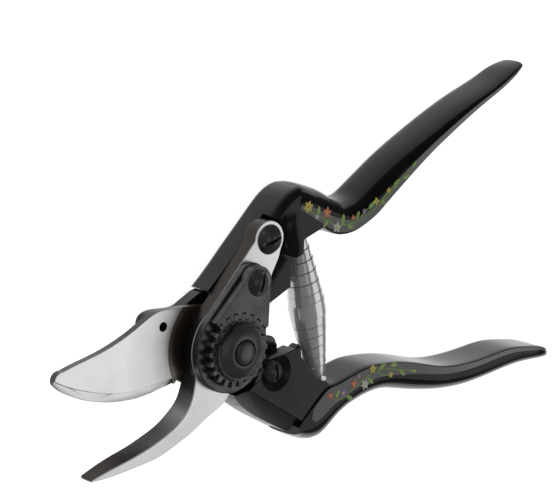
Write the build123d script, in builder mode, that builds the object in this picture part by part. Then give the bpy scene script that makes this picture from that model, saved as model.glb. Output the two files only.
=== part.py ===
from build123d import *
from math import atan, cos, degrees, pi, radians, sin, tan
from os import makedirs

# Bypass pruning shears, lying flat with the nut side up.
# The origin is on the pivot axis, at the back of the bolt head; +X runs down the
# tool towards the handles, +Y towards the hook handle, +Z up through the nut.
# Everything is drawn with the shears fully open, which is how the spring holds them.
# All sizes are in millimetres.

# driving sizes
blade_reach = 61.5        # pivot axis to the point of the cutting blade
grip_reach = 148.0        # pivot axis to the end of the hook handle, along X
hub_radius = 14.2         # round boss of the hook about the pivot
body_depth = 15.5         # thickness of both handles along Z
swing = 28.0              # how far the blade handle closes, in degrees
tongue_thick = 4.6
blade_thick = 2.6
hook_thick = 4.95
plate_thick = 2.4
rim_thick = 3.0           # toothed rim of the nut, and the segment beside it
bolt_radius = 4.0
bolt_head_radius = 9.5
bolt_head_thick = 2.4
washer_thick = 0.3
bush_wall = 2.0
nut_teeth = 22
nut_tip_radius = 11.7
nut_root_radius = 9.7
screw_shank_radius = 2.4
spring_radius = 6.0       # at the middle band
spring_end_radius = 2.7
ribbon_thick = 0.4
coil_width = 4.0
band_width = 7.0
stud_radius = 1.6
stud_pin = 2.5
stud_root = 4.0
stud_collar = 1.2
catch_thick = 4.0
strip_depth = 0.5

# fits
running_gap = 0.05        # faces and bores that slide on one another
stop_gap = 0.12           # left between a stop and what rests on it
open_gap = 0.4            # between parts that pass without touching

# the outlines were drawn for these sizes and follow the ones above
drawn_hub = 14.2
drawn_blade = 61.5
drawn_grip = 148.0
neck_x = 46.0

# levels up through the pivot
washer_top = bolt_head_thick + washer_thick
tongue_z = washer_top + running_gap
tongue_top = tongue_z + tongue_thick
blade_top = tongue_top + blade_thick
hook_z = blade_top + running_gap
hook_top = hook_z + hook_thick
plate_top = hook_top + plate_thick
rim_top = plate_top + rim_thick
seat_z = hook_z
bush_radius = bolt_radius + bush_wall
bush_bore = bolt_radius + running_gap

head_scale = hub_radius / drawn_hub
blade_scale = blade_reach / drawn_blade
grip_stretch = (grip_reach - neck_x * head_scale) / ((drawn_grip - neck_x) * head_scale)


def at(x, y):
    """A point of the handles: grows with the hub, and past the neck with the grip."""
    if x > neck_x:
        x = neck_x + (x - neck_x) * grip_stretch
    return (x * head_scale, y * head_scale)


def cut(x, y):
    """A point of the blade or the hook's arm."""
    return (x * blade_scale, y * blade_scale)


def turned(point, centre, angle):
    """A point turned about a centre, in degrees."""
    dx = point[0] - centre[0]
    dy = point[1] - centre[1]
    c = cos(radians(angle))
    s = sin(radians(angle))
    return (centre[0] + dx * c - dy * s, centre[1] + dx * s + dy * c)


def polar(centre, radius, angle):
    """The point at a radius and an angle from a centre."""
    return (centre[0] + radius * cos(radians(angle)), centre[1] + radius * sin(radians(angle)))


def screw_solid(centre, top, foot, head_radius, head_rise, slot_angle):
    """A domed slotted screw, its head standing on the level called top."""
    sphere_radius = (head_radius ** 2 + head_rise ** 2) / (2 * head_rise)
    with BuildPart() as made:
        with BuildSketch(Plane.XY.offset(foot)):
            with Locations(centre):
                Circle(screw_shank_radius)
        extrude(amount=top - foot)
        with Locations((centre[0], centre[1], top + head_rise - sphere_radius)):
            Sphere(sphere_radius)
        with BuildSketch(Plane.XY.offset(foot - 2 * sphere_radius)):
            with Locations(centre):
                Rectangle(8 * sphere_radius, 8 * sphere_radius)
                Circle(screw_shank_radius, mode=Mode.SUBTRACT)
        extrude(amount=top - foot + 2 * sphere_radius, mode=Mode.SUBTRACT)
        with BuildSketch(Plane.XY.offset(top)):
            with Locations(centre):
                Rectangle(8 * sphere_radius, 8 * sphere_radius)
                Circle(head_radius, mode=Mode.SUBTRACT)
        extrude(amount=2 * sphere_radius, mode=Mode.SUBTRACT)
        with BuildSketch(Plane.XY.offset(top + head_rise * 0.45)):
            with Locations(Location((centre[0], centre[1]), slot_angle)):
                Rectangle(3 * head_radius, head_radius * 0.22)
        extrude(amount=2 * head_rise, mode=Mode.SUBTRACT)
    return made.part


# where the screws, the spring and the latch stand
segment_at = at(12.6, 17.7)
hook_screw_at = at(23.9, 26.6)
catch_at = at(16.6, -15.8)
spring_top_at = at(40.6, 21.6)
spring_foot_at = at(38.0, -29.4)
spring_z = body_depth / 2
spring_vector = Vector(spring_top_at[0] - spring_foot_at[0], spring_top_at[1] - spring_foot_at[1], 0)
spring_length = spring_vector.length
spring_middle = Vector((spring_top_at[0] + spring_foot_at[0]) / 2,
                       (spring_top_at[1] + spring_foot_at[1]) / 2, spring_z)
spring_plane = Plane(spring_middle, x_dir=(0, 0, 1), z_dir=spring_vector)


def stud_solid(point, away):
    """A spring stud: pin inside the coil, collar under its end, root in the handle."""
    axis = spring_vector.normalized() * away
    foot = Plane(Vector(point[0], point[1], spring_z), x_dir=(0, 0, 1), z_dir=axis)
    with BuildPart() as made:
        with BuildSketch(foot.offset(-stud_root)):
            Circle(stud_radius)
        extrude(amount=stud_root + stud_pin)
        with BuildSketch(foot.offset(-stud_collar)):
            Circle(spring_end_radius + ribbon_thick)
        extrude(amount=stud_collar)
    return made.part


with BuildPart() as upper_stud:
    add(stud_solid(spring_top_at, -1))

with BuildPart() as lower_stud:
    add(stud_solid(spring_foot_at, 1))

# cushion pocket on the lower handle
cushion_root = 4.4 * head_scale
cushion_sink = 0.8 * head_scale
cushion_depth = tongue_top - 1.0
cushion_floor = Plane(origin=(at(23.0, -11.7)[0], at(23.0, -11.7)[1], 1.0 + cushion_depth / 2),
                      x_dir=(1, 0, 0), z_dir=(0, 1, 0))

# hook handle: the forged core, from the nose at the hub to the tang in the grip
nose_radius = hub_radius + open_gap
nose_foot = at(5.6, 13.6)
upper_head_line = [
    at(0.6, 17.9), at(9.2, 22.6), at(16.3, 26.9), at(23.3, 31.0), at(30.4, 35.2),
    at(34.2, 37.0), at(37.6, 37.8), at(40.4, 37.8),
]
head_round = 3.0 * head_scale   # outer edges of the hook handle's head
lobe_left = at(19.5, 3.6)
lobe_right = at(32.5, 6.0)
closed_catch_at = turned(catch_at, (0, 0), swing)
hook_radius = 14.6 * head_scale
finger_radius = 16.8 * head_scale
catch_hub_radius = 4.9 * head_scale
catch_z = tongue_z + 1.7
catch_top = catch_z + catch_thick
catch_cone_radius = 6.2 * head_scale
catch_cone_angle = 110
catch_head_radius = 3.9


def keeper(outer, angle):
    """A corner of the keeper slot, on its outer or inner arc about the shut catch's pivot."""
    radius = finger_radius + open_gap if outer else hook_radius - open_gap
    return polar(closed_catch_at, radius, angle)


with BuildPart() as upper_handle:
    with BuildSketch():
        with BuildLine():
            Spline(*upper_head_line)
            Polyline(
                upper_head_line[-1], at(37.4, 32.3), at(47.0, 22.4), at(37.0, 21.5), at(34.6, 13.8),
                lobe_right, lobe_left, at(14.9, 1.2), nose_foot, upper_head_line[0],
            )
        make_face()
        Circle(nose_radius, mode=Mode.SUBTRACT)
    extrude(amount=body_depth)
    fillet(upper_handle.edges().filter_by(GeomType.BSPLINE), head_round)
    # seat for the hook's tail
    with BuildSketch(Plane.XY.offset(seat_z)):
        Polygon(at(-10.0, -20.0), at(-10.0, 45.0), at(25.6, 45.0), at(27.0, 33.2), at(29.5, 19.0),
                at(32.6, 17.0), at(50.0, 17.0), at(50.0, -20.0), align=None)
        with Locations(hook_screw_at):
            Circle(6.6 * head_scale)
    extrude(amount=body_depth, mode=Mode.SUBTRACT)
    # tang, a flat bar inside the grip
    with BuildSketch(Plane.XY.offset(body_depth / 2 - 2)):
        Polygon(at(36.0, 30.0), at(42.0, 25.0), at(54.0, 20.4), at(64.0, 20.0), at(88.0, 28.6),
                at(88.0, 30.6), at(64.0, 22.4), at(56.0, 24.6), at(46.0, 33.0), at(38.0, 35.0), align=None)
    extrude(amount=4)
    # keeper slot that the catch hooks into when the shears are shut
    with BuildSketch(Plane.XY.offset(catch_z - open_gap)):
        with BuildLine():
            ThreePointArc(keeper(1, 4), keeper(1, 43), keeper(1, 82))
            Line(keeper(1, 82), keeper(0, 82))
            ThreePointArc(keeper(0, 82), keeper(0, 67), keeper(0, 52))
            Polyline(keeper(0, 52), closed_catch_at, keeper(1, 4))
        make_face()
    extrude(amount=catch_thick + 2 * open_gap, mode=Mode.SUBTRACT)
    for centre in (segment_at, hook_screw_at):
        with BuildSketch(Plane.XY.offset(1.0)):
            with Locations(centre):
                Circle(screw_shank_radius)
        extrude(amount=body_depth, mode=Mode.SUBTRACT)
    add(upper_stud.part, mode=Mode.SUBTRACT)


def grip_section(x, inner, crown, depth_share):
    """One section of a grip: flat on the front and towards the other handle, round in the palm."""
    half = body_depth * depth_share / 2
    width = (crown - inner) * head_scale
    place = Plane(origin=(at(x, 0)[0], 0, body_depth / 2), x_dir=(0, 1, 0), z_dir=(1, 0, 0))
    y0 = inner * head_scale
    front = y0 + width * 0.46
    back = y0 + width * 0.80
    with BuildSketch(place) as section:
        with BuildLine():
            Polyline((front, half), (y0, half), (y0, -half), (back, -half))
            Bezier((back, -half), (y0 + width * 1.09, -half), (y0 + width * 1.07, half * 0.3),
                   (y0 + width * 0.85, half), (front, half))
        make_face()
    return section.sketch


# x, inner face, palm face, share of the full depth
upper_sections = [
    (36.8, 31.4, 34.8, 1.0), (39.0, 29.0, 37.2, 1.0), (42.0, 25.9, 37.5, 1.0), (46.5, 21.4, 36.2, 1.0),
    (50.5, 18.2, 34.1, 1.0), (54.0, 16.9, 31.0, 1.0), (57.0, 16.4, 27.4, 1.0), (60.0, 16.2, 25.6, 1.0),
    (63.5, 16.4, 25.1, 1.0), (68.0, 17.4, 26.3, 1.0), (75.0, 20.2, 28.7, 1.0), (84.0, 23.9, 31.6, 1.0),
    (95.0, 28.2, 34.3, 1.0), (108.0, 32.2, 37.1, 0.98), (122.0, 35.8, 39.4, 0.94),
    (134.0, 38.2, 41.0, 0.87), (142.0, 39.7, 42.1, 0.76), (148.0, 41.0, 42.8, 0.50),
]
lower_sections = [
    (21.0, -37.2, -41.0, 1.0), (24.0, -35.4, -43.8, 1.0), (28.0, -33.0, -46.2, 1.0),
    (32.0, -30.9, -46.9, 1.0), (36.0, -29.5, -45.6, 1.0), (40.0, -29.8, -43.6, 1.0),
    (44.0, -29.9, -42.4, 1.0), (48.0, -29.9, -41.9, 1.0), (54.0, -30.2, -41.8, 1.0),
    (61.0, -32.0, -42.9, 1.0), (69.0, -35.0, -46.5, 1.0), (78.0, -39.6, -50.9, 1.0),
    (87.0, -44.4, -54.5, 1.0), (97.0, -47.7, -57.3, 1.0), (108.0, -49.8, -59.0, 0.98),
    (119.0, -51.7, -60.3, 0.94), (128.0, -55.0, -62.0, 0.87), (136.0, -58.9, -64.2, 0.74),
    (141.0, -62.2, -65.8, 0.50),
]
strip_from = 0.05         # edges of the decorated strip, as shares of the section
strip_to = 0.42


def strip_blank(sections, first, last):
    """The decorated strip before it is trimmed to the front of a grip."""
    low = []
    high = []
    for x, inner, crown, depth_share in sections[first:last]:
        low.append(at(x, inner + (crown - inner) * strip_from))
        high.append(at(x, inner + (crown - inner) * strip_to))
    with BuildPart() as blank:
        with BuildSketch(Plane.XY.offset(body_depth - strip_depth)):
            with BuildLine():
                Spline(*low)
                Line(low[-1], high[-1])
                Spline(*high)
                Line(low[0], high[0])
            make_face()
        extrude(amount=3)
    return blank.part


with BuildPart() as upper_full:
    for x, inner, crown, depth_share in upper_sections:
        add(grip_section(x, inner, crown, depth_share))
    loft(ruled=True)
    split(bisect_by=Plane.XY, keep=Keep.TOP)
    add(upper_handle.part, mode=Mode.SUBTRACT)
    add(upper_stud.part, mode=Mode.SUBTRACT)

with BuildPart() as upper_strip:
    add(strip_blank(upper_sections, 1, 14))
    add(upper_full.part, mode=Mode.INTERSECT)
    add(upper_handle.part, mode=Mode.SUBTRACT)

with BuildPart() as upper_grip:
    add(upper_full.part)
    add(strip_blank(upper_sections, 1, 14), mode=Mode.SUBTRACT)

# hook: counter-blade, boss and tail in one piece
hook_back_inner = [
    cut(-13.6, -1.5), cut(-17.1, -7.0), cut(-19.5, -10.1), cut(-23.3, -12.5), cut(-28.6, -14.6),
    cut(-34.2, -15.6), cut(-40.6, -16.3), cut(-46.9, -16.5), cut(-53.3, -17.0), cut(-58.6, -17.8),
]
hook_front_inner = [
    cut(-13.0, -3.0), cut(-15.0, -7.0), cut(-17.3, -11.0), cut(-20.6, -14.0), cut(-26.0, -16.3),
    cut(-32.4, -17.6), cut(-39.0, -18.2), cut(-46.0, -18.3), cut(-53.0, -18.2), cut(-58.4, -18.4),
]
hook_outer = [
    cut(-58.4, -18.9), cut(-53.8, -20.0), cut(-47.9, -21.0), cut(-42.9, -21.6), cut(-38.3, -22.1),
    cut(-33.0, -22.4), cut(-24.3, -21.3), cut(-18.6, -20.2), cut(-12.7, -18.4), cut(-6.5, -17.0),
    cut(-1.0, -13.0),
]


def arm_section(inner, level):
    """The hook's arm at one level."""
    with BuildSketch(Plane.XY.offset(level)) as section:
        with BuildLine():
            Spline(*inner)
            Line(inner[-1], hook_outer[0])
            Spline(*hook_outer)
            Line(hook_outer[-1], inner[0])
        make_face()
    return section.sketch


with BuildPart() as hook_blade:
    add(arm_section(hook_back_inner, hook_z))
    add(arm_section(hook_front_inner, hook_top))
    loft(ruled=True)
    with BuildSketch(Plane.XY.offset(hook_z)):
        Circle(hub_radius)
        with BuildLine():
            Polyline(at(-0.3, 16.1), at(6.7, 20.7), at(13.0, 24.8), at(20.7, 29.8), at(23.9, 26.6),
                     at(28.4, 23.0), at(26.1, 19.4), at(22.6, 15.7), at(18.5, 10.5), at(17.8, 5.1),
                     at(17.0, 4.0), at(13.6, 0.0), at(0, 0), at(-13.0, 5.5), at(-9.6, 10.4), at(-0.3, 16.1))
        make_face()
        with Locations(hook_screw_at):
            Circle(5.9 * head_scale)
    extrude(amount=hook_thick)
    Hole(bolt_radius)
    for centre in (segment_at, hook_screw_at):
        with Locations((centre[0], centre[1], hook_top)):
            Hole(screw_shank_radius)

# lock plate: teardrop round the pivot and the segment screw
with BuildPart() as lock_plate:
    with BuildSketch(Plane.XY.offset(hook_top)):
        Circle(hub_radius - 0.3)
        with Locations(segment_at):
            Circle(5.6 * head_scale)
        make_hull()
    extrude(amount=plate_thick)
    fillet(lock_plate.faces().sort_by(Axis.Z)[-1].edges(), 0.5)
    Hole(bolt_radius)
    with Locations((segment_at[0], segment_at[1], plate_top)):
        Hole(screw_shank_radius)


tooth_root = 0.6          # how far the teeth are rooted inside the root circle


def nut_outline(grow):
    """Toothed rim of the nut, enlarged all round by grow."""
    with BuildSketch(mode=Mode.PRIVATE) as outline:
        Circle(nut_root_radius + grow)
        depth = nut_tip_radius - nut_root_radius
        width = 2 * pi * nut_root_radius / nut_teeth
        with PolarLocations(nut_root_radius, nut_teeth):
            with Locations(((depth + grow - tooth_root) / 2, 0)):
                Trapezoid(width * 0.66 + 2 * grow, depth + grow + tooth_root, 80, rotation=-90)
    return outline.sketch


with BuildPart() as adjusting_nut:
    with BuildSketch(Plane.XY.offset(plate_top)):
        add(nut_outline(0))
    extrude(amount=rim_thick)
    with BuildSketch(Plane.XY.offset(rim_top)):
        Circle(nut_root_radius - 0.5)
    extrude(amount=rim_thick)
    fillet(adjusting_nut.faces().sort_by(Axis.Z)[-1].edges(), 1.6)
    # two wrench flats
    with BuildSketch(Plane.XY.offset(rim_top + 0.2)):
        with PolarLocations(nut_root_radius - 1.6 + 5, 2, start_angle=118):
            Rectangle(10, 30)
    extrude(amount=10, mode=Mode.SUBTRACT)
    Hole(bolt_radius)

with BuildPart() as toothed_segment:
    with BuildSketch(Plane.XY.offset(plate_top)):
        with BuildLine():
            Polyline(
                polar((0, 0), hub_radius - 1.0, 118), polar(segment_at, 5.0 * head_scale, 150),
                polar(segment_at, 5.0 * head_scale, 60), polar(segment_at, 5.0 * head_scale, -30),
                polar((0, 0), hub_radius - 0.8, 12), (0, 0), polar((0, 0), hub_radius - 1.0, 118),
            )
        make_face()
        with Locations(segment_at):
            Circle(5.1 * head_scale)
        add(nut_outline(0.15), mode=Mode.SUBTRACT)
    extrude(amount=rim_thick)
    with Locations((segment_at[0], segment_at[1], rim_top)):
        Hole(screw_shank_radius)

with BuildPart() as centre_bolt:
    with BuildSketch():
        Circle(bolt_head_radius)
    extrude(amount=bolt_head_thick)
    chamfer(centre_bolt.faces().sort_by(Axis.Z)[0].edges(), 0.6)
    with BuildSketch(Plane.XY.offset(bolt_head_thick)):
        Circle(bolt_radius)
    extrude(amount=rim_top + rim_thick + 0.9 - bolt_head_thick)
    fillet(centre_bolt.faces().sort_by(Axis.Z)[-1].edges(), 0.8)

with BuildPart() as slide_washer:
    with BuildSketch(Plane.XY.offset(bolt_head_thick)):
        Circle(bolt_head_radius - 0.5)
        Circle(bolt_radius, mode=Mode.SUBTRACT)
    extrude(amount=washer_thick)

with BuildPart() as segment_screw:
    add(screw_solid(segment_at, rim_top, 3.0, 4.4, 2.2, 62))

with BuildPart() as hook_screw:
    add(screw_solid(hook_screw_at, hook_top, 3.0, 4.8, 2.9, 5))

# dowels that key the blade to its tongue, just outside the bush
dowel_radius = 1.3
dowel_circle = (bush_radius + hub_radius) / 2


def dowel_solid(angle):
    """One dowel, standing in the tongue and the blade."""
    with BuildPart() as made:
        with BuildSketch(Plane.XY.offset(tongue_z + 0.8)):
            with Locations(polar((0, 0), dowel_circle, angle)):
                Circle(dowel_radius)
        extrude(amount=tongue_thick + blade_thick - 1.0)
    return made.part


with BuildPart() as front_dowel:
    add(dowel_solid(150))

with BuildPart() as rear_dowel:
    add(dowel_solid(330))

# lower handle: head with the tongue that carries the blade
tongue_line = [
    at(-7.5, 15.6), at(-16.6, 17.5), at(-19.2, 17.9), at(-21.3, 17.6), at(-22.9, 16.2),
    at(-23.3, 14.4),
]
stop_turn = degrees(2 * stop_gap / nose_radius)
stop_top = turned(at(1.5, 17.1), (0, 0), stop_turn)
stop_foot = turned(nose_foot, (0, 0), stop_turn)
catch_slot_edge = finger_radius + open_gap

# room for the foot of the spring
with BuildPart() as spring_room:
    with BuildSketch(Plane(Vector(spring_foot_at[0], spring_foot_at[1], spring_z), x_dir=(0, 0, 1),
                           z_dir=spring_vector)):
        Circle(spring_end_radius + 3 * ribbon_thick)
    extrude(amount=4, taper=-20)

with BuildPart() as lower_handle:
    with BuildSketch(Plane.XY.offset(tongue_z)):
        Circle(hub_radius - 0.6)
        with BuildLine():
            Spline(*tongue_line)
            Polyline(at(-23.3, 14.4), at(-18.5, 2.0), at(-12.4, -4.5), at(0, 0), at(3.4, 12.6),
                     at(-7.5, 15.6))
        make_face()
        # shoulder that meets the nose of the hook handle when the shears are open
        Polygon(at(-7.5, 15.6), at(-0.8, 17.2), stop_top, stop_foot, at(3.4, 12.6), at(-3.0, 12.6),
                align=None)
        Polygon(at(-3.0, -13.2), at(-4.0, -17.6), at(6.6, -19.8), at(14.7, -14.9), at(11.5, -6.5), at(0, 0),
                align=None)
    extrude(amount=tongue_thick)
    with BuildSketch():
        with BuildLine():
            Polyline(
                at(1.5, -18.0), at(14.6, -14.2), at(16.8, -11.7), at(26.2, -11.7), at(28.4, -16.5),
                at(31.4, -23.8), at(36.6, -28.4), at(36.8, -30.4), at(22.0, -38.2), at(19.9, -39.4),
            )
            Spline(at(19.9, -39.4), at(17.2, -36.8), at(7.2, -26.6), at(1.5, -18.0))
        make_face()
    extrude(amount=hook_top)
    # room for the hook's boss and for the catch
    with BuildSketch(Plane.XY.offset(tongue_top)):
        Circle(hub_radius + 3.2)
    extrude(amount=hook_thick * 4, mode=Mode.SUBTRACT)
    # broad bevel down the palm side of the head
    bevel_plane = Plane(origin=(at(12.4, -24.6)[0], at(12.4, -24.6)[1], hook_top), x_dir=(-0.725, -0.69, 0),
                        z_dir=(-0.69, 0.725, 0))
    with BuildSketch(bevel_plane):
        Polygon((0, 0), (0, 10), (14, 10), (14, -14 * 1.05), align=None)
    extrude(amount=60, both=True, mode=Mode.SUBTRACT)
    # tang, a flat bar inside the grip
    with BuildSketch(Plane.XY.offset(body_depth / 2 - 2)):
        Polygon(at(30.0, -31.0), at(42.0, -33.0), at(56.0, -33.0), at(80.0, -43.4), at(80.0, -46.4),
                at(56.0, -37.5), at(40.0, -38.5), at(24.0, -36.0), align=None)
    extrude(amount=4)
    # slot the catch swings in, open towards the hook handle
    with BuildSketch(Plane.XY.offset(catch_z - open_gap)):
        with Locations(catch_at):
            Circle(catch_hub_radius + open_gap)
        Polygon(polar(catch_at, catch_hub_radius + open_gap, -118), polar(catch_at, catch_slot_edge, -58),
                polar(catch_at, 2 * catch_slot_edge, -30), polar(catch_at, 2 * catch_slot_edge, 30),
                polar(catch_at, catch_slot_edge, 52), polar(catch_at, catch_hub_radius + open_gap, 110),
                align=None)
        with Locations(catch_at):
            Circle(catch_slot_edge, mode=Mode.INTERSECT)
    extrude(amount=catch_thick + 2 * open_gap, mode=Mode.SUBTRACT)
    # bores for the bush and the catch's screw, with a cone round the screw head
    with Locations((0, 0, tongue_top)):
        Hole(bush_radius)
    with Locations((catch_at[0], catch_at[1], hook_top)):
        CounterSinkHole(screw_shank_radius, catch_cone_radius, depth=hook_top - 1.2,
                        counter_sink_angle=catch_cone_angle)
    for dowel in (front_dowel, rear_dowel):
        add(dowel.part, mode=Mode.SUBTRACT)
    with BuildSketch(cushion_floor):
        Rectangle(cushion_root, cushion_depth)
    extrude(amount=-cushion_sink, mode=Mode.SUBTRACT)
    add(spring_room.part, mode=Mode.SUBTRACT)
    add(lower_stud.part, mode=Mode.SUBTRACT)

with BuildPart() as lower_full:
    for x, inner, crown, depth_share in lower_sections:
        add(grip_section(x, inner, crown, depth_share))
    loft(ruled=True)
    split(bisect_by=Plane.XY, keep=Keep.TOP)
    add(lower_handle.part, mode=Mode.SUBTRACT)
    add(spring_room.part, mode=Mode.SUBTRACT)
    add(lower_stud.part, mode=Mode.SUBTRACT)

with BuildPart() as lower_strip:
    add(strip_blank(lower_sections, 3, 14))
    add(lower_full.part, mode=Mode.INTERSECT)
    add(lower_handle.part, mode=Mode.SUBTRACT)

with BuildPart() as lower_grip:
    add(lower_full.part)
    add(strip_blank(lower_sections, 3, 14), mode=Mode.SUBTRACT)

# cutting blade on the tongue
blade_edge = [
    cut(-18.3, -5.2), cut(-22.0, -5.1), cut(-26.7, -4.9), cut(-31.9, -4.3), cut(-36.8, -3.1),
    cut(-42.0, -1.3), cut(-47.0, 1.1), cut(-51.9, 4.1), cut(-56.0, 7.4), cut(-58.8, 10.4), cut(-60.0, 12.6),
]
blade_spine = [
    cut(-56.2, 15.3), cut(-49.9, 15.4), cut(-43.4, 15.3), cut(-36.7, 15.7), cut(-29.2, 16.9),
    cut(-23.6, 18.3), cut(-19.2, 18.9), cut(-15.1, 18.2), cut(-8.0, 16.2), at(-1.0, 14.1),
]
blade_hole_at = cut(-18.3, 13.7)

with BuildPart() as cutting_blade:
    with BuildSketch(Plane.XY.offset(tongue_top)):
        with BuildLine():
            Spline(*blade_edge)
            ThreePointArc(blade_edge[-1], cut(-59.2, 14.6), blade_spine[0])
            Spline(*blade_spine)
            Polyline(blade_spine[-1], at(0, 0), at(-8.0, -11.0), cut(-15.2, -6.7), cut(-17.5, -4.4),
                     blade_edge[0])
        make_face()
        Circle(hub_radius - 0.5)
    extrude(amount=blade_thick)
    # long grind down to the cutting edge
    grind = [cut(-19.0, -3.4), cut(-26.7, -2.2), cut(-36.8, -0.2), cut(-47.0, 4.4), cut(-55.0, 9.6),
             cut(-59.6, 13.4)]
    with BuildSketch(Plane.XY.offset(blade_top - 0.9)):
        with BuildLine():
            Spline(*grind)
            Polyline(grind[-1], cut(-66, 14.0), cut(-62, -12), cut(-19.0, -12), grind[0])
        make_face()
        Circle(hub_radius + 2.8, mode=Mode.SUBTRACT)
    extrude(amount=2, mode=Mode.SUBTRACT)
    with Locations((0, 0, blade_top)):
        Hole(bush_radius)
    with Locations((blade_hole_at[0], blade_hole_at[1], blade_top)):
        Hole(1.4)
    for dowel in (front_dowel, rear_dowel):
        add(dowel.part, mode=Mode.SUBTRACT)

with BuildPart() as pivot_bush:
    with BuildSketch(Plane.XY.offset(tongue_z)):
        Circle(bush_radius)
        Circle(bush_bore, mode=Mode.SUBTRACT)
    extrude(amount=tongue_thick + blade_thick)


# thumb catch: a finger that hooks into the slot of the hook handle
finger = [polar(catch_at, hook_radius, -34 + 4.5 * step) for step in range(9)]
finger_back = [polar(catch_at, finger_radius, 4 - 4.75 * step) for step in range(9)]
with BuildPart() as thumb_catch:
    with BuildSketch(Plane.XY.offset(catch_z)):
        with Locations(catch_at):
            Circle(catch_hub_radius)
        with BuildLine():
            Spline(*finger)
            Line(finger[-1], finger_back[0])
            Spline(*finger_back)
            Polyline(finger_back[-1], polar(catch_at, finger_radius * 0.97, -46),
                     polar(catch_at, catch_hub_radius, -110), catch_at,
                     polar(catch_at, catch_hub_radius, -15), finger[0])
        make_face()
    extrude(amount=catch_thick)
    with Locations((catch_at[0], catch_at[1], catch_top)):
        Hole(screw_shank_radius + running_gap)

with BuildPart() as catch_washer:
    with BuildSketch(Plane.XY.offset(catch_z - open_gap)):
        with Locations(catch_at):
            Circle(catch_hub_radius - 0.6)
            Circle(screw_shank_radius, mode=Mode.SUBTRACT)
    extrude(amount=open_gap - running_gap)

catch_screw_seat = hook_top - (catch_cone_radius - catch_head_radius) / tan(radians(catch_cone_angle / 2))
with BuildPart() as catch_screw:
    add(screw_solid(catch_at, catch_screw_seat + 0.02, 2.0, catch_head_radius, 2.6, 78))

# cushion that meets the lobe of the hook handle when the shears are shut
open_lobe_left = turned(lobe_left, (0, 0), -swing)
open_lobe_right = turned(lobe_right, (0, 0), -swing)


def on_lobe(share, drop):
    """A point along the lobe's lower edge as it lies when shut, dropped below it."""
    dx = open_lobe_right[0] - open_lobe_left[0]
    dy = open_lobe_right[1] - open_lobe_left[1]
    length = (dx * dx + dy * dy) ** 0.5
    return (
        open_lobe_left[0] + dx * share + dy / length * drop,
        open_lobe_left[1] + dy * share - dx / length * drop,
    )


with BuildPart() as cushion:
    with BuildSketch(Plane.XY.offset(1.0)):
        with BuildLine():
            Polyline(at(25.2, -11.7), at(25.2, -12.5), at(20.8, -12.5), at(20.8, -11.7), at(19.4, -11.6),
                     on_lobe(0.02, 1.6))
            Spline(on_lobe(0.02, 1.6), on_lobe(0.12, stop_gap + 0.15), on_lobe(0.26, stop_gap),
                   on_lobe(0.40, stop_gap + 0.3), on_lobe(0.53, 2.2))
            Line(on_lobe(0.53, 2.2), at(25.2, -11.7))
        make_face()
    extrude(amount=cushion_depth)

# double volute spring: a ribbon wound up both cones from a plain band
cone_height = spring_length / 2 - coil_width / 2
cone_turns = 5.5
cone_angle = degrees(atan((spring_radius - spring_end_radius) / cone_height))
with BuildPart() as half_coil:
    with BuildLine() as coil:
        Helix(cone_height / cone_turns, cone_height, spring_radius, cone_angle=-cone_angle)
    with BuildSketch(Plane(coil.line @ 0, x_dir=(0, 0, 1), z_dir=coil.line % 0)):
        Rectangle(coil_width, ribbon_thick)
    sweep(path=coil.line, is_frenet=True)

with BuildPart() as spring:
    with Locations(spring_plane.location):
        add(half_coil.part)
        add(half_coil.part, rotation=(180, 0, 0))
    with BuildSketch(spring_plane.offset(-band_width / 2)):
        Circle(spring_radius + ribbon_thick * 0.8)
        Circle(spring_radius - ribbon_thick * 0.8, mode=Mode.SUBTRACT)
    extrude(amount=band_width)

parts = {
    "upper_handle": upper_handle, "upper_grip": upper_grip, "upper_strip": upper_strip,
    "hook_blade": hook_blade, "lock_plate": lock_plate, "toothed_segment": toothed_segment,
    "segment_screw": segment_screw, "hook_screw": hook_screw, "adjusting_nut": adjusting_nut,
    "centre_bolt": centre_bolt, "slide_washer": slide_washer, "upper_stud": upper_stud,
    "spring": spring, "lower_handle": lower_handle, "lower_grip": lower_grip,
    "lower_strip": lower_strip, "cutting_blade": cutting_blade, "pivot_bush": pivot_bush,
    "front_dowel": front_dowel, "rear_dowel": rear_dowel, "cushion": cushion,
    "lower_stud": lower_stud, "catch_screw": catch_screw, "catch_washer": catch_washer,
    "thumb_catch": thumb_catch,
}
makedirs("parts", exist_ok=True)
for label, made in parts.items():
    made.part.label = label
    export_step(made.part, f"parts/{label}.step")
    print(label, len(made.part.solids()), round(made.part.volume, 1))
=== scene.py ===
import math
import bmesh
import bpy
import numpy as np
from mathutils import Matrix, Vector


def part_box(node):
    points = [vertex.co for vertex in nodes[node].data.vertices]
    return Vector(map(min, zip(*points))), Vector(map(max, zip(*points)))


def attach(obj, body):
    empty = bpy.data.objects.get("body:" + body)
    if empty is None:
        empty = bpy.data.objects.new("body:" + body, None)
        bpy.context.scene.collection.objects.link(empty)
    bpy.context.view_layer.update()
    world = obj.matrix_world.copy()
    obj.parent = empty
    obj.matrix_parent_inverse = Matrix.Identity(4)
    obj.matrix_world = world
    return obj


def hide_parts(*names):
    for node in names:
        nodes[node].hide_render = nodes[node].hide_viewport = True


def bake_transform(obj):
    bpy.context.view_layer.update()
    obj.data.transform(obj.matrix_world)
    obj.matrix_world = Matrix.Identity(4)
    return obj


# Looks for a pair of pruning shears. Outlines below are in millimetres in the frame of the
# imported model, and become metres when a mesh is made.

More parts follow.
